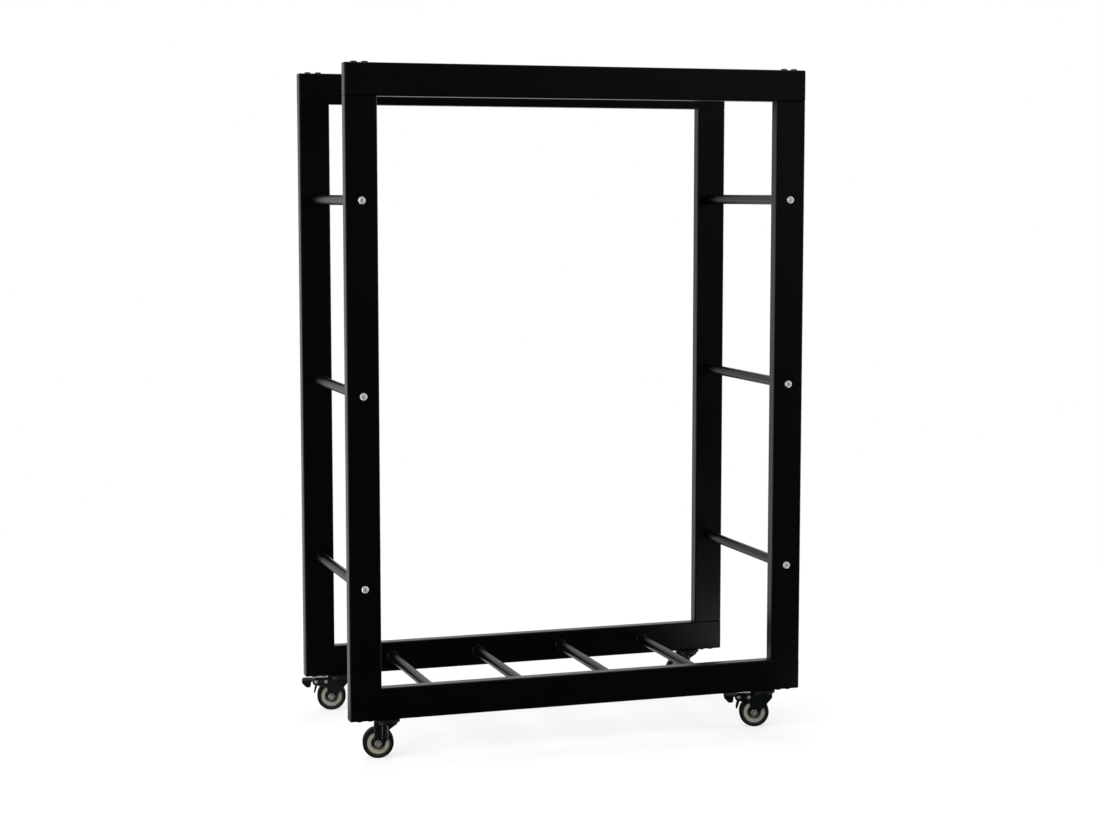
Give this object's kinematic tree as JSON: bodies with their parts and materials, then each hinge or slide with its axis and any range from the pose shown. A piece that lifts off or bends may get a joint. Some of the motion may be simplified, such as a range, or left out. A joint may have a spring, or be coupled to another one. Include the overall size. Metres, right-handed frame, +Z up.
{
  "type": "firewood rack",
  "caption": "Open rack of flat black box tube joined by round bars, for stacking firewood, on swivel casters, some with foot brakes.",
  "frame": {"origin": "on the floor under the middle of the frame", "axes": "+Z up, +X to the right along the width seen from the front, +Y from front to rear"},
  "size_m": [0.7545, 0.3748, 1.0622],
  "materials": {
    "frame_paint": "satin black powder coat",
    "caster_paint": "semi-gloss black on pressed sheet",
    "brake_paint": "satin black on pressed sheet",
    "black_plastic": "fine matt, flush with the tube",
    "black_screws": "black oxide",
    "bright_zinc": "bright zinc plate",
    "plain_steel": "bare turned steel",
    "wheel_plastic": "moulded, light beige grey",
    "tyre_rubber": "smooth black rubber"
  },
  "bodies": {
    "rack": {"bar_bolts": "bright_zinc", "bar_inserts": "plain_steel", "base_bar_1": "frame_paint", "base_bar_2": "frame_paint", "base_bar_3": "frame_paint", "base_bar_4": "frame_paint", "caster_balls": "plain_steel", "caster_cups": "caster_paint", "caster_nuts": "plain_steel", "caster_stems": "plain_steel", "front_bottom_rail": "frame_paint", "front_left_post": "frame_paint", "front_right_post": "frame_paint", "front_top_rail": "frame_paint", "left_lower_bar": "frame_paint", "left_middle_bar": "frame_paint", "left_upper_bar": "frame_paint", "post_end_plugs": "plain_steel", "rail_end_caps": "black_plastic", "rail_screws": "black_screws", "rear_bottom_rail": "frame_paint", "rear_left_post": "frame_paint", "rear_right_post": "frame_paint", "rear_top_rail": "frame_paint", "right_lower_bar": "frame_paint", "right_middle_bar": "frame_paint", "right_upper_bar": "frame_paint"},
    "front_left_swivel": {"front_left_axle_bolt": "bright_zinc", "front_left_axle_nut": "bright_zinc", "front_left_axle_sleeve": "plain_steel", "front_left_fork": "caster_paint"},
    "front_left_wheel": {"front_left_tyre": "tyre_rubber", "front_left_wheel_core": "wheel_plastic"},
    "front_right_swivel": {"front_right_axle_bolt": "bright_zinc", "front_right_axle_nut": "bright_zinc", "front_right_axle_sleeve": "plain_steel", "front_right_brake_pins": "bright_zinc", "front_right_brake_spring": "plain_steel", "front_right_fork": "caster_paint"},
    "front_right_wheel": {"front_right_tyre": "tyre_rubber", "front_right_wheel_core": "wheel_plastic"},
    "front_right_brake": {"front_right_brake_lever": "brake_paint"},
    "rear_left_swivel": {"rear_left_axle_bolt": "bright_zinc", "rear_left_axle_nut": "bright_zinc", "rear_left_axle_sleeve": "plain_steel", "rear_left_brake_pins": "bright_zinc", "rear_left_brake_spring": "plain_steel", "rear_left_fork": "caster_paint"},
    "rear_left_wheel": {"rear_left_tyre": "tyre_rubber", "rear_left_wheel_core": "wheel_plastic"},
    "rear_left_brake": {"rear_left_brake_lever": "brake_paint"},
    "rear_right_swivel": {"rear_right_axle_bolt": "bright_zinc", "rear_right_axle_nut": "bright_zinc", "rear_right_axle_sleeve": "plain_steel", "rear_right_fork": "caster_paint"},
    "rear_right_wheel": {"rear_right_tyre": "tyre_rubber", "rear_right_wheel_core": "wheel_plastic"}
  },
  "joints": [
    {"name": "front_left_swivel", "type": "hinge", "parent": "rack", "child": "front_left_swivel", "pos_m": [-0.315, -0.165, 0.0601], "axis": [0, 0, 1], "continuous": true},
    {"name": "front_left_wheel_spin", "type": "hinge", "parent": "front_left_swivel", "child": "front_left_wheel", "pos_m": [-0.32869, -0.16209, 0.024], "axis": [0.2079, 0.9781, 0], "continuous": true},
    {"name": "front_right_swivel", "type": "hinge", "parent": "rack", "child": "front_right_swivel", "pos_m": [0.315, -0.165, 0.0601], "axis": [0, 0, 1], "continuous": true},
    {"name": "front_right_wheel_spin", "type": "hinge", "parent": "front_right_swivel", "child": "front_right_wheel", "pos_m": [0.30184, -0.16021, 0.024], "axis": [0.342, 0.9397, 0], "continuous": true},
    {"name": "front_right_brake_press", "type": "hinge", "parent": "front_right_swivel", "child": "front_right_brake", "pos_m": [0.27788, -0.15149, 0.0496], "axis": [-0.342, -0.9397, 0], "range_deg": [0, 11]},
    {"name": "rear_left_swivel", "type": "hinge", "parent": "rack", "child": "rear_left_swivel", "pos_m": [-0.315, 0.165, 0.0601], "axis": [0, 0, 1], "continuous": true},
    {"name": "rear_left_wheel_spin", "type": "hinge", "parent": "rear_left_swivel", "child": "rear_left_wheel", "pos_m": [-0.32869, 0.16791, 0.024], "axis": [0.2079, 0.9781, 0], "continuous": true},
    {"name": "rear_left_brake_press", "type": "hinge", "parent": "rear_left_swivel", "child": "rear_left_brake", "pos_m": [-0.35364, 0.17321, 0.0496], "axis": [-0.2079, -0.9781, 0], "range_deg": [0, 11]},
    {"name": "rear_right_swivel", "type": "hinge", "parent": "rack", "child": "rear_right_swivel", "pos_m": [0.315, 0.165, 0.0601], "axis": [0, 0, 1], "continuous": true},
    {"name": "rear_right_wheel_spin", "type": "hinge", "parent": "rear_right_swivel", "child": "rear_right_wheel", "pos_m": [0.30154, 0.16886, 0.024], "axis": [0.2756, 0.9613, 0], "continuous": true}
  ]
}
